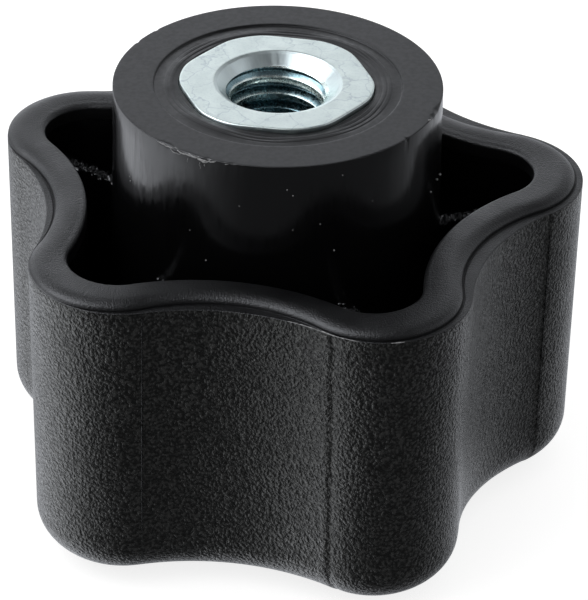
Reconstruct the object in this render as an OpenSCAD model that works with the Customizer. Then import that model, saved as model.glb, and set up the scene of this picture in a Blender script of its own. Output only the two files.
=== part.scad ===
// Star knob for an M8 stud: a hollow, lobed plastic head moulded round a hexagonal steel insert.
// The knob stands on its crown with the open side up. Z is the thread axis and z = 0 is the crown's flat.
// Every star outline is a ring of lobe arcs joined by tangent hollow arcs, one hollow between two lobes.

/* [Head] */
// Number of lobes
lobe_count = 5; // [4:1:7]
// Turn of the first lobe from +X, in degrees
lobe_turn = 8.6; // [0:0.2:72]
// Diameter over the lobe tips, at the ledge under the rim
head_diameter = 46.9; // [44:0.1:52]
// Diameter across the hollows between lobes, at the same ledge
waist_diameter = 36.4; // [34.5:0.1:38.5]
// Radius of a lobe's tip
lobe_radius = 6.9; // [6.4:0.1:7.6]
// Height of the rim's flat top above the crown
rim_height = 25.9; // [18:0.1:40]
// Radius between the grip wall and the crown
crown_radius = 4.8; // [2:0.1:5.6]
// Taper of the grip wall towards the crown, in degrees
grip_draft = 0.8; // [0.1:0.1:1.5]
// Sideways step between the two halves of the mould
mould_step = 0.4; // [0:0.05:0.6]

/* [Rim] */
// Height of the smooth rim above the ledge
rim_rise = 0.6; // [0.6:0.05:1.5]
// Radius of the rim's outer edge
rim_edge = 0.5; // [0.2:0.05:0.55]
// Width of the ledge outside the rim, at a lobe's tip
ledge_at_tip = 0.3; // [0.1:0.05:1]
// Width of the ledge outside the rim, at the middle of a hollow
ledge_at_waist = 1; // [0.3:0.05:1.2]
// Radius of the rim's lobes
rim_lobe_radius = 6.35; // [5.8:0.05:7.2]

/* [Cavity] */
// Width of the rim's flat and rounded top, at a lobe's tip
wall_at_tip = 3.1; // [2.4:0.05:4]
// Width of the rim's flat and rounded top, at the middle of a hollow
wall_at_waist = 2.55; // [2:0.05:3.2]
// Radius of the cavity's lobes
cavity_lobe_radius = 3.75; // [3.2:0.05:4.6]
// Taper of the cavity wall and of the boss, in degrees
core_draft = 0.5; // [0.1:0.1:1]
// Thickness of the crown under the cavity
crown_thickness = 3.2; // [2:0.1:6]
// Radius between the cavity's wall and its floor
cavity_floor_radius = 1; // [0.4:0.1:1.6]

/* [Boss] */
// Diameter of the boss at its face
boss_diameter = 25; // [23:0.1:26]
// Height of the boss's face above the rim
boss_rise = 8.6; // [2:0.1:20]
// Diameter of the shallow recess round the insert
recess_diameter = 18.8; // [16:0.1:22]
// Depth of that recess
recess_depth = 0.25; // [0.1:0.05:1]

/* [Ribs] */
// Thickness of a rib
rib_thickness = 1; // [0.8:0.1:2]
// Drop from the rim's top to a rib's edge, beside the boss
rib_drop_at_boss = 4.2; // [1:0.1:12]
// Drop from the rim's top to a rib's edge, at the wall
rib_drop_at_wall = 3.4; // [1:0.1:12]

/* [Insert] */
// Width across the flats of the hexagonal bar
insert_flats = 14; // [13:0.1:15]
// Diameter to which the bar's corners are turned
insert_corners = 14.9; // [14.2:0.1:16]
// Turn of a corner from +X, in degrees
insert_turn = 51; // [0:1:60]
// Length of the insert
insert_length = 24; // [16:0.5:27]
// Width of the turned groove that the plastic grips
grip_groove_width = 3; // [1:0.1:6]
// Diameter at the bottom of that groove
grip_groove_diameter = 12; // [11:0.1:13]
// Diameter of the hole under the M8 thread
thread_hole_diameter = 6.8; // [5:0.1:8.6]
// Depth of the full hole, from the insert's face
thread_hole_depth = 18; // [8:0.5:21]
// Diameter of the countersink at the face
countersink_diameter = 9.5; // [9:0.1:11]
// Full angle of the countersink, in degrees
countersink_angle = 120; // [82:1:120]
// Full angle of the drill's point, in degrees
drill_point_angle = 118; // [90:1:140]

/* [Hidden] */

$fn = 96;
body_colour = [0.11, 0.11, 0.12];
insert_colour = [0.72, 0.76, 0.78];

// Depth by which a cut runs out of a face, and a wall or rib runs into its neighbour
overrun = 1;
// Distance by which two walls or faces that meet run into each other, so that they cross
lap = 0.01;

half_pitch = 180 / lobe_count;
boss_top = rim_height + boss_rise;
ledge_height = rim_height - rim_rise;
crown_middle = crown_thickness / 2;

// A star outline is [distance to a lobe's tip, lobe radius, distance to the middle of a hollow]
grip_outline = [head_diameter / 2, lobe_radius, waist_diameter / 2];
rim_outline = [grip_outline[0] - ledge_at_tip, rim_lobe_radius, grip_outline[2] - ledge_at_waist];
cavity_outline = [rim_outline[0] - wall_at_tip, cavity_lobe_radius, rim_outline[2] - wall_at_waist];

function polar(radius, angle) = [radius * cos(angle), radius * sin(angle)];

// Distance from the axis to the centre of a lobe's arc
function lobe_centre(outline) = outline[0] - outline[1];

// Distance from the axis to the centre of a hollow's arc, where that arc is tangent to both lobes
function hollow_centre(outline) =
    let (lobe = lobe_centre(outline), gap = outline[1] - outline[2])
    (lobe * lobe - gap * gap) / (2 * (gap + lobe * cos(half_pitch)));

// Radius of a hollow's arc
function hollow_radius(outline) = hollow_centre(outline) - outline[2];

// Wall from its top down to its rounded foot, as [distance inside the outline, height] points.
// The outline is met at the height given, and the wall may run on above it.
function wall_profile(height, draft, edge, steps, above = 0) =
    let (inset = (height - edge) * tan(draft) + edge / cos(draft))
    concat([[-above * tan(draft), height + above]],
           [for (i = [0 : steps])
               let (slope = draft + i * (90 - draft) / steps)
               [inset - edge * cos(slope), edge - edge * sin(slope)]]);

// Lobe: the wall's profile turned about the lobe's centre
module lobe_solid(radius, profile) {
    foot = profile[len(profile) - 1];
    rotate_extrude()
        polygon(concat([for (p = profile) [radius + lap - p[0], p[1]]], [[0, foot[1]], [0, profile[0][1]]]));
}

// Cutter for a hollow: the same profile turned about the hollow's centre
module hollow_cutter(radius, profile) {
    foot = profile[len(profile) - 1];
    rotate_extrude()
        polygon(concat([[0, profile[0][1] + overrun], [radius, profile[0][1] + overrun]],
                       [for (p = profile) [radius + p[0], p[1]]],
                       [[radius + foot[0], foot[1] - overrun], [0, foot[1] - overrun]]));
}

// Star solid with its rounded foot at z = 0 and its full outline at the profile's top
module star_solid(outline, profile) {
    lobes = [for (i = [0 : lobe_count - 1]) polar(lobe_centre(outline), 2 * i * half_pitch)];
    hollows = [for (i = [0 : lobe_count - 1]) polar(hollow_centre(outline), (2 * i + 1) * half_pitch)];
    difference() {
        linear_extrude(profile[0][1])
            polygon([for (i = [0 : lobe_count - 1]) each [lobes[i], hollows[i]]]);
        for (centre = hollows) translate(centre) hollow_cutter(hollow_radius(outline), profile);
    }
    for (centre = lobes) translate(centre) lobe_solid(outline[1], profile);
}

// Grained wall and crown, from the lower half of the mould
module grip() {
    translate([mould_step, 0, 0])
        star_solid(grip_outline, wall_profile(ledge_height, grip_draft, crown_radius, 8));
}

// Smooth band above the ledge, rounded at its top and seated in the grip
module rim() {
    translate([0, 0, rim_height])
        mirror([0, 0, 1])
            star_solid(rim_outline, wall_profile(rim_rise + lap, 0, rim_edge, 4));
}

// Hollow inside the wall, open at the rim
module cavity() {
    translate([0, 0, crown_thickness])
        star_solid(cavity_outline,
                   wall_profile(rim_height - crown_thickness, core_draft, cavity_floor_radius, 4, overrun));
}

// Central boss, rooted in the crown and a little wider there
module boss() {
    height = boss_top - crown_middle;
    translate([0, 0, crown_middle])
        cylinder(h = height, r1 = boss_diameter / 2 + height * tan(core_draft), r2 = boss_diameter / 2);
}

// Height of a rib's edge at a distance from the axis
function rib_edge(distance) =
    let (boss_side = boss_diameter / 2, wall_side = cavity_outline[0])
    rim_height - rib_drop_at_boss
        + (rib_drop_at_boss - rib_drop_at_wall) * (distance - boss_side) / (wall_side - boss_side);

// One thin rib from the boss to the tip of each lobe
module ribs() {
    inner = boss_diameter / 2 - overrun;
    outer = cavity_outline[0] + overrun;
    for (i = [0 : lobe_count - 1])
        rotate(2 * i * half_pitch)
            rotate([90, 0, 0])
                linear_extrude(rib_thickness, center = true)
                    polygon([
                        [inner, crown_middle],
                        [outer, crown_middle],
                        [outer, rib_edge(outer)],
                        [inner, rib_edge(inner)]
                    ]);
}

// Shallow recess in the boss's face
module face_recess() {
    translate([0, 0, boss_top - recess_depth])
        cylinder(h = recess_depth + overrun, d = recess_diameter);
}

// Outside of the insert, which the plastic is moulded against
module insert_blank() {
    translate([0, 0, boss_top - insert_length])
        rotate(insert_turn)
            difference() {
                intersection() {
                    cylinder(h = insert_length, d = insert_flats / cos(30), $fn = 6);
                    cylinder(h = insert_length, d = insert_corners);
                }
                translate([0, 0, (insert_length - grip_groove_width) / 2])
                    difference() {
                        cylinder(h = grip_groove_width, d = insert_corners + overrun);
                        cylinder(h = grip_groove_width, d = grip_groove_diameter);
                    }
            }
}

// Blind hole with the drill's point below it and the countersink at its mouth
module thread_hole() {
    radius = thread_hole_diameter / 2;
    point = radius / tan(drill_point_angle / 2);
    slope = tan(countersink_angle / 2);
    sink = (countersink_diameter - thread_hole_diameter) / 2 / slope;
    translate([0, 0, boss_top - thread_hole_depth]) {
        cylinder(h = thread_hole_depth + overrun, r = radius);
        translate([0, 0, -point]) cylinder(h = point, r1 = 0, r2 = radius);
    }
    translate([0, 0, boss_top - sink])
        cylinder(h = sink + overrun, r1 = radius, r2 = radius + (sink + overrun) * slope);
}

// One moulding: grip, rim, crown, boss and ribs
module knob_body() {
    color(body_colour)
        rotate(lobe_turn)
            difference() {
                union() {
                    difference() {
                        union() {
                            grip();
                            rim();
                        }
                        cavity();
                    }
                    boss();
                    ribs();
                }
                face_recess();
                rotate(-lobe_turn) insert_blank();
            }
}

// Steel hexagon, countersunk and drilled for the thread
module threaded_insert() {
    color(insert_colour)
        difference() {
            insert_blank();
            thread_hole();
        }
}

knob_body();
threaded_insert();
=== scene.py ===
import math

import bpy
import numpy as np
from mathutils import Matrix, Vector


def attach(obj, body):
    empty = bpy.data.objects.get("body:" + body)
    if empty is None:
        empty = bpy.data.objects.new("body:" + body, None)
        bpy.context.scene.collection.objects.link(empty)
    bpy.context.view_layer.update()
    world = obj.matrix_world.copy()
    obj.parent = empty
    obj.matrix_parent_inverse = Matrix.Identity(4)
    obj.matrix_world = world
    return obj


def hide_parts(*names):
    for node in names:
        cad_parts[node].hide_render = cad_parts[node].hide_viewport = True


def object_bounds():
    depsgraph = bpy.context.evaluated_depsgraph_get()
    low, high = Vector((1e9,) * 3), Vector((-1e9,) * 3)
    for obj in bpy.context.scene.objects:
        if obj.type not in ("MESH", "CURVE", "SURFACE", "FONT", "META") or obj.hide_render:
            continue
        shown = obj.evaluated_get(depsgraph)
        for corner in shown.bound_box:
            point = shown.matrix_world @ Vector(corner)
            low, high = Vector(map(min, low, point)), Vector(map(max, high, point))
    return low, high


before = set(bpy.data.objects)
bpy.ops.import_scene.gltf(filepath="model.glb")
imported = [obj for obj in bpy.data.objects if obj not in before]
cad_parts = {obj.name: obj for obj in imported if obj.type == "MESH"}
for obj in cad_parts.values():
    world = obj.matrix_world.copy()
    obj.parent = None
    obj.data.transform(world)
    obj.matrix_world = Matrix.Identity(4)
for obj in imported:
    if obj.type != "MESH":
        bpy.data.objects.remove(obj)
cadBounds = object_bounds()
mm = 0.001
random = np.random.default_rng(7)

# Every surface is worked out in millimetres, in the frame's own axes, and stored in metres. A face is a
# row of four corners, and a triangle's fourth corner is -1. A rail is a point attribute that patterns
# follow along the surface.


def makePiece(name, vertices, faces, finishes, faceFinish=None, rail=None):
    used = faces >= 0
    starts = np.concatenate([[0], np.cumsum(used.sum(axis=1))[:-1]])
    mesh = bpy.data.meshes.new(name)
    mesh.vertices.add(len(vertices))
    mesh.vertices.foreach_set("co", np.ravel(np.asarray(vertices) * mm))
    mesh.loops.add(int(used.sum()))
    mesh.loops.foreach_set("vertex_index", faces[used].astype(np.int32))
    mesh.polygons.add(len(faces))
    mesh.polygons.foreach_set("loop_start", starts.astype(np.int32))
    mesh.polygons.foreach_set("use_smooth", np.ones(len(faces), dtype=bool))
    for finish in finishes:
        mesh.materials.append(finish)
    if faceFinish is not None:
        mesh.polygons.foreach_set("material_index", np.asarray(faceFinish, dtype=np.int32))
    if rail is not None:
        layer = mesh.attributes.new("rail", "FLOAT_VECTOR", "POINT")
        layer.data.foreach_set("vector", np.asarray(rail, dtype=np.float32).ravel())
    mesh.update(calc_edges=True)
    piece = bpy.data.objects.new(name, mesh)
    bpy.context.scene.collection.objects.link(piece)
    return piece


# Closed grid: rows of points that run anticlockwise as seen from the last row, joined by quads. A fan of
# triangles closes each end. The face finishes follow the row that a face starts from.
def closedGrid(rows, rowFinish=None):
    rows = np.asarray(rows, dtype=float)
    rowCount, columnCount = rows.shape[:2]
    corner = np.arange(rowCount * columnCount).reshape(rowCount, columnCount)
    after = np.roll(corner, -1, axis=1)
    quads = np.stack([corner[:-1], after[:-1], after[1:], corner[1:]], axis=-1).reshape(-1, 4)
    pole = np.full(columnCount, corner.size)
    none = np.full(columnCount, -1)
    startFan = np.stack([pole, after[0], corner[0], none], axis=-1)
    endFan = np.stack([corner[-1], after[-1], pole + 1, none], axis=-1)
    vertices = np.concatenate([rows.reshape(-1, 3), rows[:1].mean(axis=1), rows[-1:].mean(axis=1)])
    faces = np.concatenate([quads, startFan, endFan])
    if rowFinish is None:
        return vertices, faces
    rowFinish = np.asarray(rowFinish)
    return vertices, faces, np.repeat(np.append(rowFinish[:-1], rowFinish[[0, -1]]), columnCount)


# Many closed grids as one mesh: each part's corners count on from the parts before it.
def joined(parts):
    starts = np.cumsum([0] + [len(vertices) for vertices, faces in parts[:-1]])
    faces = [np.where(part[1] < 0, -1, part[1] + start) for part, start in zip(parts, starts)]
    return np.concatenate([part[0] for part in parts]), np.concatenate(faces)


# Rail: a ring's two coordinates, the same for every row, and a height for every point. Poles get zeros.
def makeRail(ring, heights):
    ring = np.broadcast_to(ring, (*heights.shape, 2))
    along = np.concatenate([ring, heights[:, :, None]], axis=-1)
    return np.concatenate([along.reshape(-1, 3), np.zeros((2, 3))])


# Smooth step from 0 to 1: 3 x squared less 2 x cubed, held level outside.
def smooth(x):
    x = np.clip(x, 0, 1)
    return x * x * (3 - 2 * x)


# How far an angle in radians lies past a middle in degrees, from -180 to 180 degrees.
def degreesPast(angle, middle):
    return (np.degrees(angle) - middle + 180) % 360 - 180


# Fractions along a flat strip, closer together at both ends so that smooth shading keeps it flat.
strip = np.array([0.04, 0.2, 0.5, 0.8, 0.96])


# Quarter ellipse between a wall and a flat, as pairs of distance in from the wall and drop below the flat.
def quarterEllipse(wide, high, turns):
    return [(wide * (1 - math.cos(a)), high * (1 - math.sin(a))) for a in turns]


# Node helpers: a node's kind goes without its ShaderNode prefix. An input that is a socket is linked, and
# any other is set as a value.


def addNode(tree, kind, inputs=None, **settings):
    node = tree.nodes.new("ShaderNode" + kind)
    for key, value in settings.items():
        setattr(node, key, value)
    for key, value in (inputs or {}).items():
        if isinstance(value, bpy.types.NodeSocket):
            tree.links.new(value, node.inputs[key])
        else:
            node.inputs[key].default_value = value
    return node


def newMaterial(name, **constants):
    material = bpy.data.materials.new(name)
    material.use_nodes = True
    tree = material.node_tree
    shader = tree.nodes["Principled BSDF"]
    for key, value in constants.items():
        shader.inputs[key.replace("_", " ")].default_value = value
    return material, tree, shader


def connect(tree, shader, **sockets):
    for key, socket in sockets.items():
        tree.links.new(socket, shader.inputs[key.replace("_", " ")])


# A vector times a factor for each axis.
def stretched(tree, vector, factors):
    return addNode(tree, "VectorMath", {0: vector, 1: factors}, operation="MULTIPLY").outputs[0]


# Place on the object in millimetres, times a stretch for each axis.
def millimetres(tree, stretch=(1, 1, 1)):
    place = addNode(tree, "TexCoord").outputs["Object"]
    return stretched(tree, place, [1 / mm * s for s in stretch])


def alongRail(tree, stretch=(1, 1, 1)):
    rail = addNode(tree, "Attribute", attribute_name="rail").outputs["Vector"]
    return stretched(tree, rail, stretch)


def maths(tree, operation, a, b=0.0):
    return addNode(tree, "Math", {0: a, 1: b}, operation=operation).outputs[0]


# One span carried smoothly onto another.
def remap(tree, value, span, onto):
    inputs = {"Value": value, "From Min": span[0], "From Max": span[1], "To Min": onto[0], "To Max": onto[1]}
    return addNode(tree, "MapRange", inputs, interpolation_type="SMOOTHSTEP").outputs["Result"]


def noise(tree, vector, scale, detail=2.0, roughness=0.5, dimensions="3D"):
    inputs = {"Scale": scale, "Detail": detail, "Roughness": roughness}
    inputs["W" if dimensions == "1D" else "Vector"] = vector
    return addNode(tree, "TexNoise", inputs, noise_dimensions=dimensions).outputs["Fac"]


# Place pushed aside by a broad noise, so that what is drawn on it looks bent.
def bentPlace(tree, place, scale, detail, amount):
    inputs = {"Vector": place, "Scale": scale, "Detail": detail, "Roughness": 0.5}
    drift = addNode(tree, "TexNoise", inputs)
    push = stretched(tree, drift.outputs["Color"], (amount, amount, amount))
    return addNode(tree, "VectorMath", {0: place, 1: push}, operation="ADD").outputs[0]


# Bump whose full height is the depth in millimetres.
def bump(tree, height, depth):
    return addNode(tree, "Bump", {"Height": height, "Distance": depth * mm}).outputs["Normal"]


# Colour mixed between a dark and a light one.
def shade(tree, factor, dark, light):
    inputs = {0: factor, 6: (*dark, 1), 7: (*light, 1)}
    return addNode(tree, "Mix", inputs, data_type="RGBA").outputs[2]


# Spans that a noise fills: nearly whole, and its middle part.
wideSpan = (0.3, 0.7)
midSpan = (0.35, 0.65)

# Finishes. Scales are in waves to the millimetre and depths in millimetres. A pair runs from a noise's
# low end to its high end, and a stretch below 1 draws the noise out along that axis.

black = {
    "plain": (0.002, 0.002, 0.0022),
    "worn": (0.0045, 0.0045, 0.0048),
    # Pale ridge colour of the grain: partly rubbed wear, partly painted glints over the valleys' painted
    # shade.
    "wearAndShade": (0.02, 0.02, 0.02),
    # Pale grey of torn flash: partly stress whitening, partly a painted highlight.
    "stressedAndHighlight": (0.5, 0.5, 0.51),
}

grainFinish = {
    "scale": 4.1,
    "fineShare": 0.45,
    "depth": 0.17,
    "bend": 0.35,
    "bendScale": 1.3,
    "wearAndShadeFrom": (0.45, 0.7),
    "patchScale": 0.3,
    "patchDepth": (0.85, 1.15),
    "roughness": (0.31, 0.21),
    # Lower specular level in the grain's valleys, a painted shade.
    "specular": (0.34, 0.66),
    "tint": (1.0, 1.0, 0.93, 1.0),
}


# Moulded grain: wrinkles a quarter of a millimetre across, from a bent noise, deeper in some patches. The
# ridges are coloured a little paler than the valleys, partly rubbed wear and partly painted glints and
# painted shade, and the valleys reflect less, a painted shade for the light they lose.
def grainedPlastic():
    look = grainFinish
    material, tree, shader = newMaterial("black_plastic_grained", Specular_Tint=look["tint"])
    place = millimetres(tree)
    bent = bentPlace(tree, place, look["bendScale"], 2.0, look["bend"])
    wrinkles = noise(tree, bent, look["scale"], roughness=look["fineShare"])
    patch = noise(tree, place, look["patchScale"], detail=3.0)
    height = maths(tree, "MULTIPLY", wrinkles, remap(tree, patch, wideSpan, look["patchDepth"]))
    # Paler ridges and darker valleys: partly rubbed wear, partly painted glints and painted shade.
    wearAndShade = remap(tree, wrinkles, look["wearAndShadeFrom"], (0, 1))
    connect(tree, shader,
            Normal=bump(tree, height, look["depth"]),
            Base_Color=shade(tree, wearAndShade, black["plain"], black["wearAndShade"]),
            Roughness=remap(tree, patch, wideSpan, look["roughness"]),
            Specular_IOR_Level=remap(tree, wrinkles, midSpan, look["specular"]))
    return material


satinFinish = {
    "flowScale": 5.0,
    "flowStretch": (1, 1, 0.22),
    "flowShare": 0.5,
    "mottleScale": 9.0,
    "patchScale": 0.4,
    "depth": 0.042,
    "roughness": (0.3, 0.4),
}


# Satin rim: fine flow lines that cross the band, from noise stretched across it, with a fine mottle.
def satinPlastic():
    look = satinFinish
    material, tree, shader = newMaterial("black_plastic_satin")
    place = millimetres(tree)
    lines = noise(tree, alongRail(tree, look["flowStretch"]), look["flowScale"], detail=3.0, roughness=0.6)
    mottle = noise(tree, place, look["mottleScale"])
    patch = noise(tree, place, look["patchScale"], detail=3.0)
    height = maths(tree, "ADD", maths(tree, "MULTIPLY", lines, look["flowShare"]), mottle)
    connect(tree, shader,
            Normal=bump(tree, height, look["depth"]),
            Base_Color=shade(tree, patch, black["plain"], black["worn"]),
            Roughness=remap(tree, patch, wideSpan, look["roughness"]))
    return material


glossFinish = {
    "broadScale": 1.0,
    "broadStretch": (1, 1, 0.04),
    "broadShare": 0.6,
    "narrowScale": 3.2,
    "narrowStretch": (1, 1, 0.07),
    "patchScale": 0.45,
    "patchStretch": (1, 1, 0.3),
    "patchSpan": (0.42, 0.62),
    "patchStrength": (0.1, 1.0),
    "draggedX": -8.8,
    "draggedWithin": (1.0, 2.6),
    "draggedStrength": (1.0, 0.12),
    "depth": 0.04,
    "roughness": (0.14, 0.22),
}


# Gloss from the mould's core, with upright drag lines from noises that hardly change with height. The
# lines come in patches. They are strong in one strip of the boss's side and faint elsewhere.
def glossPlastic():
    look = glossFinish
    material, tree, shader = newMaterial("black_plastic_gloss", Base_Color=(*black["plain"], 1))
    broadPlace = millimetres(tree, look["broadStretch"])
    narrowPlace = millimetres(tree, look["narrowStretch"])
    broad = noise(tree, broadPlace, look["broadScale"], detail=3.0, roughness=0.6)
    narrow = noise(tree, narrowPlace, look["narrowScale"], detail=3.0, roughness=0.6)
    patch = noise(tree, millimetres(tree, look["patchStretch"]), look["patchScale"], detail=3.0)
    drag = maths(tree, "ADD", narrow, maths(tree, "MULTIPLY", broad, look["broadShare"]))
    x = addNode(tree, "SeparateXYZ", {0: millimetres(tree)}).outputs[0]
    away = maths(tree, "ABSOLUTE", maths(tree, "SUBTRACT", x, look["draggedX"]))
    marked = maths(tree, "MULTIPLY",
                   remap(tree, patch, look["patchSpan"], look["patchStrength"]),
                   remap(tree, away, look["draggedWithin"], look["draggedStrength"]))
    connect(tree, shader,
            Normal=bump(tree, maths(tree, "MULTIPLY", drag, marked), look["depth"]),
            Roughness=remap(tree, narrow, midSpan, look["roughness"]))
    return material


turnedFinish = {
    "ringScale": 4.0,
    "ringShare": 0.2,
    "mottleScale": 2.4,
    "depth": 0.004,
    "roughness": (0.37, 0.47),
}


# Boss face: turned look, from noise that depends on the distance from the axis alone, over a faint mottle.
def facePlastic():
    look = turnedFinish
    material, tree, shader = newMaterial("black_plastic_face")
    place = millimetres(tree)
    flat = stretched(tree, place, (1, 1, 0))
    radius = addNode(tree, "VectorMath", {0: flat}, operation="LENGTH").outputs["Value"]
    rings = noise(tree, radius, look["ringScale"], detail=3.0, roughness=0.7, dimensions="1D")
    mottle = noise(tree, place, look["mottleScale"], detail=4.0, roughness=0.6)
    height = maths(tree, "ADD", maths(tree, "MULTIPLY", rings, look["ringShare"]), mottle)
    connect(tree, shader,
            Normal=bump(tree, height, look["depth"]),
            Base_Color=shade(tree, mottle, black["plain"], black["worn"]),
            Roughness=remap(tree, mottle, midSpan, look["roughness"]))
    return material


tornFinish = {
    "patchScale": 3.0,
    "roughness": (0.34, 0.49),
}


# Torn plastic: pale grey in uneven patches, partly stress-whitened plastic and partly a painted highlight
# where the thin flash catches the light.
def tornPlastic():
    material, tree, shader = newMaterial("black_plastic_torn_stress_and_highlight")
    patch = noise(tree, millimetres(tree), tornFinish["patchScale"])
    connect(tree, shader,
            Base_Color=shade(tree, patch, black["worn"], black["stressedAndHighlight"]),
            Roughness=remap(tree, patch, wideSpan, tornFinish["roughness"]))
    return material


zinc = {
    "light": (0.76, 0.84, 0.80),
    "shadow": (0.50, 0.57, 0.59),
    # Dark teal of the thread's groove: painted shade on the zinc's own teal hue.
    "grooveShadeTeal": (0.22, 0.33, 0.36),
}

plateFinish = {
    "bend": 2.4,
    "bendScale": 0.6,
    "cellScale": 0.42,
    "veinWide": (0.0, 0.035),
    "veinTone": (0.3, 1.0),
    "lostScale": 0.35,
    "lostSpan": (0.42, 0.6),
    "lostTone": (0.0, 0.75),
    "cloudScale": 0.9,
    "cloudTone": (0.8, 1.0),
    "speckScale": 4.5,
    "speckSpan": (0.32, 0.5),
    "speckTone": (0.72, 1.0),
    "fineScale": 9.0,
    "depth": 0.002,
    "roughness": (0.4, 0.3),
}


# Zinc face: satin and clouded, with faint dark veins where a bent cell pattern has its edges. The veins
# get lost here and there, and fine specks lie between them.
def zincFace():
    look = plateFinish
    material, tree, shader = newMaterial("zinc_face", Metallic=1.0)
    place = millimetres(tree)
    bent = bentPlace(tree, place, look["bendScale"], 3.0, look["bend"])
    inputs = {"Vector": bent, "Scale": look["cellScale"]}
    cells = addNode(tree, "TexVoronoi", inputs, feature="DISTANCE_TO_EDGE")
    lost = remap(tree, noise(tree, place, look["lostScale"]), look["lostSpan"], look["lostTone"])
    edge = remap(tree, cells.outputs["Distance"], look["veinWide"], look["veinTone"])
    vein = maths(tree, "MAXIMUM", edge, lost)
    cloud = noise(tree, place, look["cloudScale"], detail=5.0, roughness=0.65)
    speckNoise = noise(tree, place, look["speckScale"], detail=3.0, roughness=0.7)
    speck = remap(tree, speckNoise, look["speckSpan"], look["speckTone"])
    clouded = remap(tree, cloud, wideSpan, look["cloudTone"])
    tone = maths(tree, "MULTIPLY", maths(tree, "MULTIPLY", vein, speck), clouded)
    connect(tree, shader,
            Normal=bump(tree, noise(tree, place, look["fineScale"], detail=3.0), look["depth"]),
            Base_Color=shade(tree, tone, zinc["shadow"], zinc["light"]),
            Roughness=remap(tree, cloud, wideSpan, look["roughness"]))
    return material


sinkFinish = {
    "chatterScale": 2.6,
    "chatterStretch": (1, 1, 0.3),
    "depth": 0.012,
    "roughness": (0.3, 0.46),
}


# Countersink: chatter lines that run down the cone, from noise stretched along it.
def zincSink():
    look = sinkFinish
    material, tree, shader = newMaterial("zinc_countersink", Metallic=1.0)
    across = alongRail(tree, look["chatterStretch"])
    chatter = noise(tree, across, look["chatterScale"], detail=4.0, roughness=0.7)
    connect(tree, shader,
            Normal=bump(tree, chatter, look["depth"]),
            Base_Color=shade(tree, chatter, zinc["shadow"], zinc["light"]),
            Roughness=remap(tree, chatter, wideSpan, look["roughness"]))
    return material


threadFinish = {
    "tornScale": 3.5,
    "tornShare": 0.5,
    "crestSpan": (0.55, 0.9),
    "depth": 0.012,
    "roughness": (0.16, 0.34),
}


# Thread: painted light and shade: a bright colour on the crest near the mouth, and dark teal, a painted
# shade, down in the groove and on the crests deeper in. The rail's height says which, and a noise about its
# middle frays the border.
def zincThread():
    look = threadFinish
    material, tree, shader = newMaterial("zinc_thread", Metallic=1.0)
    height = addNode(tree, "SeparateXYZ", {0: alongRail(tree)}).outputs[2]
    torn = noise(tree, millimetres(tree), look["tornScale"], detail=4.0, roughness=0.7)
    frayed = maths(tree, "MULTIPLY", maths(tree, "SUBTRACT", torn, 0.5), look["tornShare"])
    crest = remap(tree, maths(tree, "ADD", height, frayed), look["crestSpan"], (0, 1))
    connect(tree, shader,
            Normal=bump(tree, torn, look["depth"]),
            Base_Color=shade(tree, crest, zinc["grooveShadeTeal"], zinc["light"]),
            Roughness=remap(tree, torn, wideSpan, look["roughness"]))
    return material


finishes = {
    "grain": grainedPlastic(),
    "satin": satinPlastic(),
    "gloss": glossPlastic(),
    "face": facePlastic(),
    "torn": tornPlastic(),
    "zincFace": zincFace(),
    "zincSink": zincSink(),
    "zincThread": zincThread(),
}
print("materials made")

# Radii, heights and depths are in millimetres and angles in degrees. A star is its tip, its lobe's radius
# and its waist.
bossTop = round(float(cadBounds[1][2]) / mm, 2)

head = {
    "lobes": 5,
    "turn": 8.6,
    "grip": (23.44, 6.95, 18.19),
    "rim": (23.15, 6.35, 17.2),
    "cavity": (20.05, 3.75, 14.65),
    "mouldStep": 0.43,
    "rimStep": 0.12,
    "rimTop": bossTop - 8.6,
    "rimRise": 0.6,
    "crownWide": 5.65,
    "crownHigh": 4.1,
    "footMiddle": (0.35, 0.05, 0.0),
    "gripDraft": 0.78,
    "ledgeEdge": 0.06,
    "grooveWide": 0.13,
    "edgeWide": 1.15,
    "edgeHigh": 0.54,
    # The rim's inner edge, at the front and at the back, and the slope of its top down to it.
    "innerWide": (0.3, 0.85),
    "innerHigh": (0.14, 0.36),
    "crowning": 0.06,
    "floor": 3.2,
    "floorRadius": 1,
    "floorReach": 10,
    "coreDraft": 0.5,
    "perArc": 96,
}
ledge = head["rimTop"] - head["rimRise"]


# Star outline: lobe arcs joined by tangent hollow arcs. Returns points and outward normals,
# anticlockwise. The shift moves it towards the first lobe.
def starOutline(tip, lobe, waist, shift=0.0):
    half = math.pi / head["lobes"]
    first = math.radians(head["turn"])
    lobeCentre = tip - lobe
    gap = lobe - waist
    hollowCentre = (lobeCentre ** 2 - gap ** 2) / (2 * (gap + lobeCentre * math.cos(half)))
    hollowRadius = hollowCentre - waist
    hollowX, hollowY = hollowCentre * math.cos(half), hollowCentre * math.sin(half)
    reach = math.atan2(hollowY, hollowX - lobeCentre)
    bulge = np.linspace(-reach, reach, head["perArc"], endpoint=False)
    dip = np.linspace(reach + math.pi, 2 * half - reach + math.pi, head["perArc"], endpoint=False)
    bulgeOut = np.stack([np.cos(bulge), np.sin(bulge)], axis=-1)
    dipIn = np.stack([np.cos(dip), np.sin(dip)], axis=-1)
    points = np.concatenate([lobe * bulgeOut + (lobeCentre, 0), hollowRadius * dipIn + (hollowX, hollowY)])
    normals = np.concatenate([bulgeOut, -dipIn])
    angles = first + 2 * half * np.arange(head["lobes"])
    turns = np.array([[np.cos(angles), np.sin(angles)], [-np.sin(angles), np.cos(angles)]]).transpose(2, 0, 1)
    offset = shift * np.array([math.cos(first), math.sin(first)])
    return (points @ turns).reshape(-1, 2) + offset, (normals @ turns).reshape(-1, 2)


# Flat points lifted to one height, or each to its own.
def level(points, z):
    return np.column_stack([points, np.broadcast_to(z, len(points))])


# Outline drawn in along its normals, at a height. A negative inset moves it out.
def drawnIn(points, normals, inset, z):
    return level(points - np.broadcast_to(inset, len(points))[:, None] * normals, z)


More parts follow.
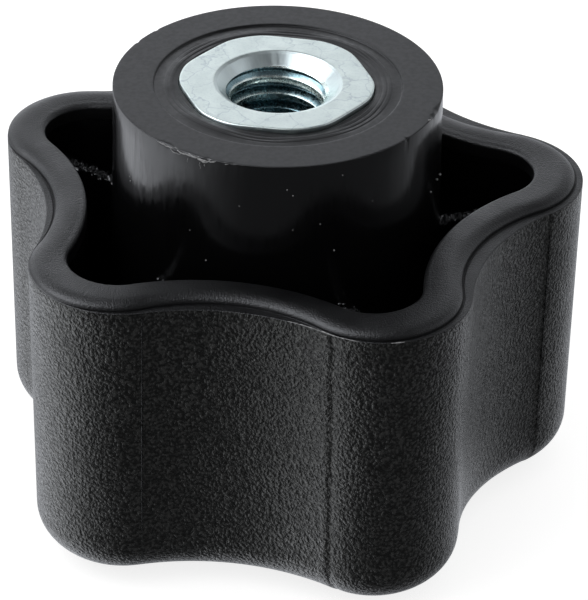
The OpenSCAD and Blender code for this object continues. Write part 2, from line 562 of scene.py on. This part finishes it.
# Tool marks, two for each lobe: how far past the lobe's seam, step out of the wall, length over which the
# wall eases back, ridge on the seam and the ridge's half width.
toolSeams = [
    (0.1, 0.05, 5, 0.03, 0.15),
    (0.0, 0.03, 5, 0.01, 0.15),
    (0.0, 0.02, 5, 0.01, 0.15),
    (0.0, -0.04, 5, 0.0, 0.15),
    (0.0, 0.04, 5, 0.01, 0.15),
    (0.0, -0.03, 5, 0.0, 0.15),
    (0.0, 0.0, 5, 0.01, 0.15),
    (0.0, 0.02, 5, 0.0, 0.15),
    (0.5, -0.12, 1.2, -0.07, 0.28),
    (0.0, 0.035, 5, 0.0, 0.15),
]
seamReach = 0.3


# Where mould inserts meet beside a lobe the wall steps in or out over the seam's reach, and then eases
# back.
def toolMarks(points):
    gaps = np.linalg.norm(np.roll(points, -1, axis=0) - points, axis=1)
    along = np.concatenate([[0], np.cumsum(gaps)[:-1]])
    whole = gaps.sum()
    marks = np.zeros(len(points))
    for index, (further, step, ease, ridge, wide) in enumerate(toolSeams):
        away = (along - along[index * head["perArc"]] - further + whole / 2) % whole - whole / 2
        stepped = smooth((away / seamReach + 1) / 2) * np.exp(-np.clip(away, 0, None) / ease)
        marks += step * stepped + ridge * np.exp(-(away / wide) ** 2)
    return marks


gripPoints, gripNormals = starOutline(*head["grip"], head["mouldStep"])
rimPoints, rimNormals = starOutline(*head["rim"], head["rimStep"])
cavityPoints, cavityNormals = starOutline(*head["cavity"])
gripMarks = toolMarks(gripPoints)
gripSlope = math.tan(math.radians(head["gripDraft"]))
coreSlope = math.tan(math.radians(head["coreDraft"]))
quarter = math.pi / 2


# Head: one closed profile carried round the stars, from the crown's middle up the grip wall, over the
# rim, down the cavity's wall and in along its floor. Finishes: 0 grain, 1 satin, 2 gloss.
def headRows():
    top, floor = head["rimTop"], head["floor"]
    rows, finish = [], []

    def add(kind, row):
        rows.append(row)
        finish.append(kind)

    def grip(kind, inset, z, marked=1.0):
        add(kind, drawnIn(gripPoints, gripNormals, inset - gripMarks * marked, z))

    def rim(inset, z):
        add(1, drawnIn(rimPoints, rimNormals, inset, z))

    def cavity(kind, inset, z):
        add(kind, drawnIn(cavityPoints, cavityNormals, inset, z))

    # Crown: the foot's outline drawn in towards its middle, then a quarter ellipse up to the wall, over
    # which the tool marks grow to their full size.
    foot = drawnIn(gripPoints, gripNormals, head["crownWide"] + ledge * gripSlope, 0.0)
    middle = np.array(head["footMiddle"])
    for share in (0.3, 0.6, 0.9, 0.985):
        add(0, middle + (foot - middle) * share)
    for a in np.linspace(0, quarter, 20):
        z = head["crownHigh"] * (1 - math.cos(a))
        inset = head["crownWide"] * (1 - math.sin(a)) + (ledge - z) * gripSlope
        grip(0, inset, z, smooth(a / 1.2))

    # Wall up to the ledge's rounded outer edge.
    edge = head["ledgeEdge"]
    for share in np.append(strip, 1.0):
        z = head["crownHigh"] + (ledge - edge - head["crownHigh"]) * share
        grip(0, (ledge - z) * gripSlope, z)
    for inset, drop in quarterEllipse(edge, edge, (0.5, 1.0, quarter)):
        grip(1, inset, ledge - drop)

    # Ledge, then the narrow groove at the rim's foot, no wider than the ledge is there.
    outer = gripPoints - edge * gripNormals
    ledgeWide = np.sum((outer - rimPoints) * rimNormals, axis=1)
    groove = np.clip(ledgeWide, 0, head["grooveWide"])
    inner = rimPoints + groove[:, None] * rimNormals
    for share in (0.15, 0.85, 1.0):
        add(1, level(outer + (inner - outer) * share, ledge))
    rim(-groove * 0.6, ledge - groove * 0.9)
    rim(0.0, ledge - groove * 0.6)
    rim(0.0, ledge + 0.02)

    # Rim: a quarter ellipse, the top that slopes in a little, and the small inner edge, which is wider at
    # the back.
    for inset, drop in quarterEllipse(head["edgeWide"], head["edgeHigh"], np.linspace(0, quarter, 13)):
        rim(inset, top - drop)
    back = smooth((cavityNormals[:, 1] + 1) / 2)
    innerWide = np.interp(back, (0, 1), head["innerWide"])
    innerHigh = np.interp(back, (0, 1), head["innerHigh"])
    innerTop = top - head["crowning"]
    flatOut = drawnIn(rimPoints, rimNormals, head["edgeWide"], top)
    flatIn = drawnIn(cavityPoints, cavityNormals, -innerWide, innerTop)
    for share in strip:
        across = flatOut + (flatIn - flatOut) * share
        add(1, level(across[:, :2], top - head["crowning"] * share * share))
    for a in np.linspace(0, quarter, 8):
        cavity(1, -innerWide * (1 - math.sin(a)), innerTop - innerHigh * (1 - math.cos(a)) ** 1.25)

    # Cavity wall, its rounded foot and the floor in under the boss.
    wallFoot = floor + head["floorRadius"]
    for share in np.append(strip, 1.0):
        z = innerTop - innerHigh + (wallFoot - innerTop + innerHigh) * share
        cavity(2, (top - z) * coreSlope, z)
    for a in (0.4, 0.8, 1.2, quarter):
        z = wallFoot - head["floorRadius"] * math.sin(a)
        cavity(2, (top - z) * coreSlope + head["floorRadius"] * (1 - math.cos(a)), z)
    last = rows[-1][:, :2]
    under = head["floorReach"] * last / np.linalg.norm(last, axis=1)[:, None]
    for share in (0.1, 0.4, 0.7, 1.0):
        add(2, level(last + (under - last) * share, floor))
    return np.array(rows), finish


rows, rowFinish = headRows()
vertices, faces, faceFinish = closedGrid(rows, rowFinish)
lengths = np.concatenate([[0], np.cumsum(np.linalg.norm(np.diff(rows, axis=0), axis=2).mean(axis=1))])
rail = makeRail(rimPoints, np.broadcast_to(lengths[:, None], rows.shape[:2]))
headFinishes = [finishes["grain"], finishes["satin"], finishes["gloss"]]
shell = makePiece("head_moulding", vertices, faces, headFinishes, faceFinish, rail)
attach(shell, "root")
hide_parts("knob_body")
print("head made")

insert = {
    "flats": 14.15,
    "corners": 14.8,
    "cornerSharpness": 60,
    "turn": 51.0,
    "offCentre": 0.09,
    "proud": 0.18,
    "length": 24.18,
    "edgeWide": 0.15,
    "edgeHigh": 0.09,
    "lowEdge": 0.5,
    "sinkRadius": 4.73,
    "sinkSlope": 1.04,
    "sinkEdge": 0.2,
    "sinkEdgeHigh": 0.12,
    "sinkDepth": 0.8,
    "crest": 3.3,
    # The crest is lower at the mouth, and reaches its full height over the millimetre above this depth.
    "leadIn": 0.3,
    "leadInDepth": 2.7,
    "root": 4.0,
    "rootShare": 0.12,
    "flankShare": 0.56,
    "pitch": 1.25,
    "firstCrest": 1.86,
    "threadDepth": 16.0,
    # The crest's colour is painted light down to this depth, and turns to painted shade over the depth that
    # follows.
    "paintedLightTo": 1.5,
    "paintedShadeOver": 5.0,
    "holeDepth": 18.0,
    "holeRadius": 3.4,
    "drillAngle": 118,
    "grooveWidth": 3.0,
    "grooveRadius": 6.0,
}
insertTop = bossTop + insert["proud"]
insertFoot = insertTop - insert["length"]


# Angles round the axis that fall on the ends of the bar's flats and turned corners.
def anglesRound(onFlat, onCorner):
    reach = math.acos(insert["flats"] / insert["corners"])
    sector = np.concatenate([
        np.linspace(-reach, reach, onFlat, endpoint=False),
        np.linspace(reach, math.pi / 3 - reach, onCorner, endpoint=False)])
    return np.concatenate([sector + math.radians(insert["turn"] + 30 + 60 * side) for side in range(6)])


# Bar outline: a hexagon and a circle joined by a power mean, so that flats run softly into turned corners.
def hexRadius(angle, inset=0.0):
    power = insert["cornerSharpness"]
    away = (angle - math.radians(insert["turn"])) % (math.pi / 3) - math.pi / 6
    flat = (insert["flats"] / 2 - inset) / np.cos(away)
    corner = insert["corners"] / 2 - inset
    return (flat ** -power + corner ** -power) ** (-1 / power) - insert["offCentre"] * np.cos(angle)


# Ring round the axis, whose radius and height may change with the angle.
def ringAt(angle, radius, z):
    return level(np.column_stack([radius * np.cos(angle), radius * np.sin(angle)]), z)


# Thread: flat crest, straight flanks and a narrower root that climb one pitch a turn, as a share of its
# height.
def threadHeight(depth, angle):
    turns = (insert["firstCrest"] - depth) / insert["pitch"] - (angle - quarter) / (2 * math.pi)
    fromRoot = np.abs((turns % 1) - 0.5) * 2
    return np.clip((fromRoot - insert["rootShare"]) / insert["flankShare"], 0, 1)


# Radius at a depth: the root, less the crest's height where the thread stands.
def threadRadius(depth, angle):
    crest = insert["crest"] + insert["leadIn"] * smooth(insert["leadInDepth"] - depth)
    return insert["root"] - (insert["root"] - crest) * threadHeight(depth, angle)


# Insert: one closed profile carried round the bar, from its buried end up the grooved side, over the
# face, down the countersink and the thread to the drill's point. Finishes: 0 face, 1 bright, 2 thread.
def insertRows(angle):
    rows, finish = [], []

    def add(kind, radius, z):
        rows.append(ringAt(angle, radius, z))
        finish.append(kind)

    # Buried end and the side with its grip groove.
    lowEdge = insert["lowEdge"]
    for share in (0.3, 0.95, 1.0):
        add(1, hexRadius(angle, lowEdge) * share, insertFoot)
    side = hexRadius(angle)
    sideTop = insertTop - insert["edgeHigh"]
    grooveLow = insertFoot + (insert["length"] - insert["grooveWidth"]) / 2
    grooveHigh = grooveLow + insert["grooveWidth"]
    for z in (insertFoot + lowEdge, insertFoot + lowEdge + 0.1, grooveLow - 0.1, grooveLow):
        add(1, side, z)
    for z in (grooveLow, grooveHigh):
        add(1, insert["grooveRadius"], z)
    for z in (grooveHigh, grooveHigh + 0.1, sideTop - 0.3, sideTop):
        add(1, side, z)

    # Face between its rounded outer edge and the countersink's.
    for inset, drop in quarterEllipse(insert["edgeWide"], insert["edgeHigh"], (0.3, 0.6, 0.9, 1.2)):
        add(0, hexRadius(angle, inset), insertTop - drop)
    outer, inner = hexRadius(angle, insert["edgeWide"]), insert["sinkRadius"] + insert["sinkEdge"]
    for share in (0.0, 0.03, 0.25, 0.6, 0.9, 0.985, 1.0):
        add(0, outer + (inner - outer) * share, insertTop)
    for a in (0.4, 0.8, 1.2):
        drop = insert["sinkEdgeHigh"] * (1 - math.cos(a))
        add(1, inner - insert["sinkEdge"] * math.sin(a), insertTop - drop)

    # Countersink and thread, whichever is wider, in fine steps where they can be seen.
    for depth in np.concatenate([np.arange(0.1, 5.2, 0.034), np.arange(5.2, insert["threadDepth"], 0.125)]):
        cone = insert["sinkRadius"] - depth * insert["sinkSlope"]
        kind = 1 if depth < insert["sinkDepth"] else 2
        add(kind, np.maximum(threadRadius(depth, angle), cone), insertTop - depth)

    # Plain hole and the drill's point.
    drill = insert["holeRadius"]
    point = drill / math.tan(math.radians(insert["drillAngle"] / 2))
    add(2, drill, insertTop - insert["threadDepth"] - 0.3)
    for share in (0.0, 0.5, 0.985):
        add(2, drill * (1 - share), insertTop - insert["holeDepth"] - point * share)
    return np.array(rows), finish


around = anglesRound(28, 16)
rows, rowFinish = insertRows(around)
vertices, faces, faceFinish = closedGrid(rows, rowFinish)
spokes = insert["sinkRadius"] * np.stack([np.cos(around), np.sin(around)], axis=-1)
depths = insertTop - rows[:, :1, 2]
# Painted light on the thread's crests, full near the mouth and fading to painted shade deeper in the hole.
crestPaintedLight = smooth((insert["paintedLightTo"] + insert["paintedShadeOver"] - depths) / insert["paintedShadeOver"])
heights = np.where(depths > insert["sinkDepth"], threadHeight(depths, around) * crestPaintedLight, rows[:, :, 2])
zincFinishes = [finishes["zincFace"], finishes["zincSink"], finishes["zincThread"]]
bar = makePiece("insert_bar", vertices, faces, zincFinishes, faceFinish, makeRail(spokes, heights))
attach(bar, "root")
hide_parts("threaded_insert")
print("insert made")

boss = {
    "radius": 12.5,
    "foot": 2.6,
    "footReach": (6, 11),
    "draft": 0.5,
    "edge": 0.07,
    "edgeLimits": (0.04, 0.6),
    "recessRadius": 9.42,
    "recessDepth": 0.15,
    "recessLip": 0.06,
    "gap": 0.06,
    # Worn places of the edge: middle and half width in degrees, size, roughness.
    "wear": [(342, 7, 0.24, 0.05), (229.5, 4, 0.26, 0.04), (242, 9, 0.1, 0.03), (320.8, 0.7, 0.25, 0.0),
             (139.7, 1.2, 0.1, 0.0), (150.6, 1.4, 0.12, 0.0), (255, 5, 0.05, 0.03), (305, 9, 0.04, 0.03)],
    # Turned ridges of the recess: height, pitch and shift in radians.
    "ridges": [(0.02, 0.42, 0), (0.012, 0.19, 1)],
    # Widths over which they fade, beside the bar and at their end, and the radius at which they end.
    "ridgesFade": (0.25, 0.5, 9.0),
    # Swell beside the bar's corners: radius, height, width.
    "swell": (8.2, 0.11, 0.5),
    # Bank on one side: middle and half width in degrees, radius, height, width.
    "bank": (38, 30, 8.35, 0.11, 0.5),
    # Rise of the whole floor on one side: middle and half width in degrees, height.
    "rise": (232, 26, 0.09),
    # Ripple of the floor, three waves round: height, width over which it fades and the radius where it ends.
    "ripple": (0.012, 0.8, 9.3),
}
bossSlope = math.tan(math.radians(boss["draft"]))


# Smooth seeded noise round a ring: a sum of sines whose strength falls with their frequency.
def ringNoise(angle, lowest, highest):
    waves = np.arange(lowest, highest)
    shift = random.uniform(0, 2 * math.pi, len(waves))
    share = random.normal(size=len(waves)) / np.sqrt(waves / lowest)
    total = (share * np.sin(angle[:, None] * waves + shift)).sum(axis=-1)
    return total / total.std()


# Edge size: a small even round, larger where it is worn, with noise there.
def edgeSize(angle):
    size = np.full(angle.shape, boss["edge"])
    rough = ringNoise(angle, 40, 200)
    for middle, reach, amount, roughness in boss["wear"]:
        inside = smooth((1 - np.abs(degreesPast(angle, middle)) / reach) * 2)
        size = size + inside * (amount + roughness * rough)
    return np.clip(size, *boss["edgeLimits"])


# Bell curve: 1 in the middle, falling off over the width.
def bell(away, width):
    return np.exp(-(away / width) ** 2)


# Dished face: a step down inside the flat ring. The floor carries turned ridges beside the bar's flats,
# and swells smoothly towards the bar's corners; on one side it banks up, and on another it rises to meet
# the ring.
def dishHeight(radius, angle):
    outline = hexRadius(angle)
    corner = np.clip((outline - insert["flats"] / 2) / (insert["corners"] - insert["flats"]) * 2, 0, 1)
    fadeIn, fadeOut, ridgesEnd = boss["ridgesFade"]
    beside = smooth((radius - outline) / fadeIn) * smooth((ridgesEnd - radius) / fadeOut)
    turned = sum(high * np.sin(radius * 2 * math.pi / pitch + shift) for high, pitch, shift in boss["ridges"])
    swellAt, swellHigh, swellWide = boss["swell"]
    swell = swellHigh * corner * bell(radius - swellAt, swellWide)
    bankMiddle, bankReach, bankAt, bankHigh, bankWide = boss["bank"]
    bank = bankHigh * bell(radius - bankAt, bankWide) * bell(degreesPast(angle, bankMiddle), bankReach)
    riseMiddle, riseReach, riseHigh = boss["rise"]
    rise = riseHigh * bell(degreesPast(angle, riseMiddle), riseReach)
    rippleHigh, rippleFade, rippleEnd = boss["ripple"]
    ripple = rippleHigh * np.sin(3 * angle + 1) * smooth((rippleEnd - radius) / rippleFade)
    ridges = turned * beside * (1 - 0.8 * corner)
    return bossTop - boss["recessDepth"] + ridges + swell + bank + rise + ripple


# Boss: one closed profile carried round the axis, from under the floor up the tapered side, over the worn
# edge and the flat ring, across the dished face and down the bar's pocket. Finishes: 0 gloss, 1 face.
def bossRows(angle):
    foot, size = boss["foot"], edgeSize(angle)
    rows, finish = [], []

    def add(kind, radius, z):
        rows.append(ringAt(angle, radius, z))
        finish.append(kind)

    for radius in boss["footReach"]:
        add(0, radius, foot)
    for share in np.concatenate([[0], strip, [1]]):
        z = foot + (bossTop - size - foot) * share
        add(0, boss["radius"] + (bossTop - z) * bossSlope, z)
    for inset, drop in quarterEllipse(size, size, (0.3, 0.6, 0.9, 1.2, quarter)):
        add(1, boss["radius"] - inset, bossTop - drop)

    # Flat ring and the small lip of the recess.
    recess, lip = boss["recessRadius"], boss["recessLip"]
    outer = boss["radius"] - size
    for share in strip:
        add(1, outer + (recess + lip - outer) * share, bossTop)
    for a in (0, 0.5, 1.0, 1.5):
        add(1, recess + lip * (1 - math.sin(a)), bossTop - lip * (1 - math.cos(a)))

    # Dished floor, and the pocket that the bar sits in.
    outline = hexRadius(angle, -boss["gap"])
    add(1, recess - 0.01, np.minimum(dishHeight(recess - 0.05, angle) + 0.04, bossTop - lip))
    for share in np.linspace(0.02, 0.99, 40):
        radius = recess + (outline - recess) * share
        add(1, radius, dishHeight(radius, angle))
    pocket = insertFoot - 0.05
    add(1, outline, dishHeight(outline, angle) - 0.04)
    add(1, outline, pocket)
    add(1, outline * 0.5, pocket)
    return np.array(rows), finish


rows, rowFinish = bossRows(anglesRound(56, 32))
vertices, faces, faceFinish = closedGrid(rows, rowFinish)
core = makePiece("boss_core", vertices, faces, [finishes["gloss"], finishes["face"]], faceFinish)
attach(core, "root")
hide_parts("knob_body")
print("boss made")

ribs = {
    "thickness": 1.0,
    "foot": 2.9,
    "topAtBoss": 21.7,
    "topAtWall": 22.5,
    # Distances from the axis: where a rib starts and ends, buried in its neighbours, and where the wall is.
    "reach": (11.8, 20.6),
    "wallAt": 20.0,
    "steps": 150,
    "nubSteps": 3,
    "nubHigh": 0.12,
    "nubWide": 0.05,
    "nubDepth": 0.6,
}

# Rib section, from one foot over the torn edge to the other: side, share of the height, drop.
ribSection = np.array([
    (-1, 0, 0), (-1, 1, -ribs["nubDepth"]), (-1, 1, -0.1), (-0.95, 1, -0.03), (-0.4, 1, 0), (0, 1, 0),
    (0.4, 1, 0), (0.95, 1, -0.03), (1, 1, -0.1), (1, 1, -ribs["nubDepth"]), (1, 0, 0)])


# Rib: a section carried from the boss to a lobe's wall. Its top edge is torn into small nubs by seeded
# noise that holds for a few steps, and the sides below keep flat.
def ribRows(angle):
    reach = np.linspace(*ribs["reach"], ribs["steps"])
    side, share, drop = ribSection.T
    loose = (share > 0) & (drop > -ribs["nubDepth"])
    along = (reach - boss["radius"]) / (ribs["wallAt"] - boss["radius"])
    top = ribs["topAtBoss"] + (ribs["topAtWall"] - ribs["topAtBoss"]) * along
    torn = random.normal(size=(ribs["steps"] // ribs["nubSteps"] + 2, len(ribSection)))
    nubs = np.repeat(torn, ribs["nubSteps"], axis=0)[:ribs["steps"]]
    nubs = (nubs + np.roll(nubs, 1, axis=0)) / 2
    z = ribs["foot"] + (top[:, None] - ribs["foot"]) * share + drop + ribs["nubHigh"] * nubs * loose
    across = side * ribs["thickness"] / 2 + ribs["nubWide"] * np.roll(nubs, 2, axis=1) * loose
    x = np.broadcast_to(reach[:, None], z.shape)
    c, s = math.cos(angle), math.sin(angle)
    rows = np.stack([x * c - across * s, x * s + across * c, z], axis=-1)
    return rows[:, ::-1]  # anticlockwise as seen from the wall, so that faces point outwards


lobeAngles = [math.radians(head["turn"] + 360 / head["lobes"] * lobe) for lobe in range(head["lobes"])]
vertices, faces = joined([closedGrid(ribRows(angle)) for angle in lobeAngles])
ribPiece = makePiece("ribs", vertices, faces, [finishes["gloss"]])
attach(ribPiece, "root")
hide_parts("knob_body")
print("ribs made")

flash = {
    "thread": 0.055,
    "hair": 0.022,
    "ledge": 0.045,
    # Strips torn loose along the boss's edge: azimuths from and to, how far out and down, thickness factor.
    "strips": [(224, 233, 0.12, 0.1, 0.7), (231.5, 236.5, 0.22, 0.3, 0.5), (233, 234.8, 0.06, -0.08, 0.6),
               (234, 243, 0.14, 0.12, 0.9), (239, 249.6, 0.16, 0.14, 1.2), (243, 247.5, 0.2, 0.2, 1.2),
               (250.5, 256.4, 0.06, 0.06, 0.6), (335, 336.5, 0.06, -0.02, 1.2)],
    # How far in from the edge and below it a strip is rooted, and how far it wanders sideways and up.
    "stripRoot": (0.08, 0.03),
    "stripWander": (0.05, 0.06),
    "stepsToDegree": 3,
    # Hairs that hang from the edge: azimuth, top, length.
    "hairs": [(239.6, 34.2, 0.35), (244.1, 34.15, 0.5), (246.0, 34.1, 0.2)],
    # How far out a hair starts and how much further it ends. Its sway is in degrees.
    "hairLean": (0.12, 0.1),
    "hairSway": 0.5,
    # Thin flash on the ledge's outer edge: first and last point of the grip's outline.
    "edges": [(746, 786), (800, 808)],
    # Ragged parting beads down the wall: point of the grip's outline, radius.
    "beads": [(672, 0.07), (0, 0.045)],
    "beadWander": 0.025,
    # Crumbs on the boss's side: azimuth, height, radius.
    "crumbs": [(352.8, 27.75, 0.07), (346.1, 28.16, 0.07), (338.6, 27.97, 0.06), (293.1, 33.38, 0.05),
               (285.5, 29.5, 0.05), (290.6, 27.07, 0.06), (246.3, 25.8, 0.05), (276.2, 29.17, 0.04),
               (274.0, 32.6, 0.05), (276.0, 32.1, 0.05), (209.4, 29.7, 0.06), (210.1, 29.4, 0.07),
               (240.0, 28.0, 0.04), (258.0, 31.0, 0.04), (305.0, 30.5, 0.04)],
    # Nubs on the rim's inner edge: place, radius.
    "nubs": [((-8.5, -14.2, 25.72), 0.15), ((-8.1, -14.45, 25.75), 0.1),
             ((4.9, -17.1, 25.72), 0.14), ((5.2, -17.2, 25.75), 0.1)],
}


# Thread of plastic: a six-sided tube along a path, thinner at both ends, its thickness varied by seeded
# noise. The sides are squared up against a lean that no path runs along.
def tube(path, radius):
    lean = (0.13, 0.21, 0.97)
    along = np.gradient(path, axis=0)
    along /= np.linalg.norm(along, axis=1)[:, None]
    across = np.cross(along, lean)
    across /= np.linalg.norm(across, axis=1)[:, None]
    up = np.cross(across, along)
    taper = 0.25 + 0.75 * np.sin(math.pi * np.linspace(0, 1, len(path))) ** 0.5
    size = np.clip(radius * taper * (1 + 0.3 * random.normal(size=len(path))), radius * 0.2, None)
    turn = -np.linspace(0, 2 * math.pi, 6, endpoint=False)[:, None]
    ring = np.cos(turn) * across[:, None] + np.sin(turn) * up[:, None]
    return closedGrid(path[:, None] + ring * size[:, None, None])


# Crumb: a ball of five rings, its radius varied by seeded noise.
def crumb(place, radius):
    tilt = np.linspace(0.3, math.pi - 0.3, 5)[:, None]
    turn = np.linspace(0, 2 * math.pi, 7, endpoint=False)
    size = radius * (1 + 0.25 * random.normal(size=(5, 7)))
    around, up = np.sin(tilt), -np.cos(tilt) + 0 * turn
    ball = np.stack([around * np.cos(turn), around * np.sin(turn), up], axis=-1)
    return closedGrid(np.asarray(place) + ball * size[:, :, None])


# Place on the boss's tapered side, from an azimuth, a distance outwards and a height.
def onBoss(azimuth, outward, z):
    a = np.radians(azimuth)
    radius = boss["radius"] + (bossTop - z) * bossSlope + outward
    return np.stack([radius * np.cos(a), radius * np.sin(a), z + 0 * a], axis=-1)


# Seeded random walk that comes back to nothing at both ends.
def wander(count, amount):
    walk = np.cumsum(random.normal(size=count))
    walk -= np.linspace(walk[0], walk[-1], count)
    return walk / np.abs(walk).max() * amount


# A strip arches out and down from the edge that it still hangs on at both ends.
def tornStrip(first, last, out, down, thickness):
    count = max(6, int((last - first) * flash["stepsToDegree"]))
    share = np.linspace(0, 1, count)
    arch = np.sin(math.pi * share) ** 0.35
    inside, below = flash["stripRoot"]
    sideways, upright = flash["stripWander"]
    outward = out * arch - inside + wander(count, sideways)
    z = bossTop - below - down * arch + wander(count, upright)
    return tube(onBoss(first + (last - first) * share, outward, z), flash["thread"] * thickness)


# A hair hangs straight down, leans out a little and sways.
def hangingHair(azimuth, top, length):
    near, lean = flash["hairLean"]
    share = np.linspace(0, 1, 8)
    sway = wander(len(share), flash["hairSway"])
    return tube(onBoss(azimuth + sway, near + lean * share, top - length * share), flash["hair"])


# Flash on the ledge follows the outline a little inside it. Its torn finish, pale in patches, paints the
# highlight of the ledge's edge.
def ledgeEdge(first, last):
    inset = 0.03 + wander(last - first, 0.02)
    return tube(drawnIn(gripPoints[first:last], gripNormals[first:last], inset, ledge + 0.01), flash["ledge"])


# A parting bead climbs the sloping wall at one point of the outline, and wanders in and out at each step.
def partingBead(index, radius):
    z = np.linspace(ledge - 0.2, head["crownHigh"] + 0.5, 160)
    outward = gripMarks[index] - (ledge - z) * gripSlope + flash["beadWander"] * random.normal(size=len(z))
    return tube(level(gripPoints[index] + outward[:, None] * gripNormals[index], z), radius)


torn = [tornStrip(*strip) for strip in flash["strips"]]
torn += [hangingHair(*hair) for hair in flash["hairs"]]
torn += [crumb(onBoss(azimuth, 0.02, z), radius) for azimuth, z, radius in flash["crumbs"]]
torn += [ledgeEdge(*edge) for edge in flash["edges"]]
dark = [partingBead(*bead) for bead in flash["beads"]]
dark += [crumb(*nub) for nub in flash["nubs"]]
vertices, faces = joined(torn + dark)
tornFaces = sum(len(part[1]) for part in torn)
flashFinishes = [finishes["torn"], finishes["gloss"]]
flashPiece = makePiece("torn_flash", vertices, faces, flashFinishes, np.arange(len(faces)) >= tornFaces)
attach(flashPiece, "root")
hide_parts("knob_body")
print("flash made")

# A long lens that looks down at 32.4 degrees, with a slight roll. Place in millimetres, turn in degrees.
view = {
    "lens": 237.7,
    "sensor": 36,
    "place": (1.545, -261.52, 181.12),
    "turn": (57.594, -1.006, 0.638),
    "nearest": 0.01,
}

cameraData = bpy.data.cameras.new("camera")
cameraData.lens = view["lens"]
cameraData.sensor_width = view["sensor"]
cameraData.clip_start = view["nearest"]
camera = bpy.data.objects.new("camera", cameraData)
camera.location = [mm * x for x in view["place"]]
camera.rotation_euler = [math.radians(a) for a in view["turn"]]
bpy.context.scene.collection.objects.link(camera)
bpy.context.scene.camera = camera

# Lengths are in metres and angles in degrees.
studio = {
    "keyPlace": (200, 55),
    "keyAway": 0.5,
    "keySide": 0.4,
    "keyTone": 1.6,
    "aimHeight": 0.02,
    "fillTone": 0.55,
    "reflectedTone": 0.14,
    "reflectedColour": (0.97, 1.0, 1.06),
    # Soft panels that reflections show: azimuth, elevation, full within, none beyond, tone.
    "panels": [(186, 6, 0, 72, 1.35), (110, 14, 20, 32, 0.97), (60, -8, 0, 72, 0.9), (176, -42, 14, 44, 1.0),
               (184, 50, 14, 38, 4.2), (0, 36, 4, 26, 0.9), (134, -50, 12, 36, 1.05)],
    "floorGrey": 0.5,
    "floorTone": 0.8,
    "floorSide": 4,
    "floorHeight": -0.05 * mm,
}


# Direction from the object, as a unit vector.
def heading(azimuth, elevation):
    a, e = math.radians(azimuth), math.radians(elevation)
    return np.array([math.cos(e) * math.cos(a), math.cos(e) * math.sin(a), math.sin(e)])


# Softbox: a square area light of a given tone that faces the object. It lights and throws the soft shadow.
def softbox(name, azimuth, elevation, distance, side, tone):
    data = bpy.data.lights.new(name, "AREA")
    data.size = side
    data.energy = tone * math.pi * side * side
    lamp = bpy.data.objects.new(name, data)
    lamp.location = heading(azimuth, elevation) * distance + (0, 0, studio["aimHeight"])
    lamp.rotation_euler = (math.pi / 2 - math.radians(elevation), 0, math.radians(azimuth) + math.pi / 2)
    lamp.visible_glossy = False
    bpy.context.scene.collection.objects.link(lamp)


softbox("key", *studio["keyPlace"], studio["keyAway"], studio["keySide"], studio["keyTone"])

# World: white to the camera, an even fill for diffuse rays, and the soft panels for glossy ones. A panel's
# tone falls off smoothly from its middle.
world = bpy.data.worlds.new("world")
bpy.context.scene.world = world
world.use_nodes = True
world.cycles.sampling_method = "NONE"
tree = world.node_tree
direction = addNode(tree, "TexCoord").outputs["Generated"]
reflected = studio["reflectedTone"]
for azimuth, elevation, inner, outer, tone in studio["panels"]:
    inputs = {0: direction, 1: heading(azimuth, elevation)}
    facing = addNode(tree, "VectorMath", inputs, operation="DOT_PRODUCT").outputs["Value"]
    panelSpan = (math.radians(inner), math.radians(outer))
    panel = remap(tree, maths(tree, "ARCCOSINE", facing), panelSpan, (tone, 0))
    reflected = maths(tree, "ADD", panel, reflected)
rays = addNode(tree, "LightPath").outputs
shown = maths(tree, "ADD", rays["Is Camera Ray"], rays["Is Transmission Ray"])
filled = maths(tree, "MULTIPLY", rays["Is Diffuse Ray"], studio["fillTone"])
mirrored = maths(tree, "MULTIPLY", rays["Is Glossy Ray"], reflected)
connect(tree, tree.nodes["Background"],
        Strength=maths(tree, "ADD", maths(tree, "ADD", shown, filled), mirrored),
        Color=shade(tree, rays["Is Glossy Ray"], (1, 1, 1), studio["reflectedColour"]))

# Floor: pale, lifted towards white where the camera sees it, and a hair below the crown. Reflections look
# past it to the world.
grey = studio["floorGrey"]
floorMaterial, tree, shader = newMaterial("floor", Roughness=0.9, Specular_IOR_Level=0.1,
                                          Base_Color=(grey, grey, grey, 1), Emission_Color=(1, 1, 1, 1))
rays = addNode(tree, "LightPath").outputs
connect(tree, shader, Emission_Strength=maths(tree, "MULTIPLY", rays["Is Camera Ray"], studio["floorTone"]))
half, low = studio["floorSide"] / 2, studio["floorHeight"]
floorCorners = [(-half, -half, low), (half, -half, low), (half, half, low), (-half, half, low)]
floorMesh = bpy.data.meshes.new("floor")
floorMesh.from_pydata(floorCorners, [], [(0, 1, 2, 3)])
floorMesh.materials.append(floorMaterial)
floorPiece = bpy.data.objects.new("floor", floorMesh)
floorPiece.visible_glossy = False
bpy.context.scene.collection.objects.link(floorPiece)

bpy.context.scene.view_settings.view_transform = "Standard"
print("studio made")
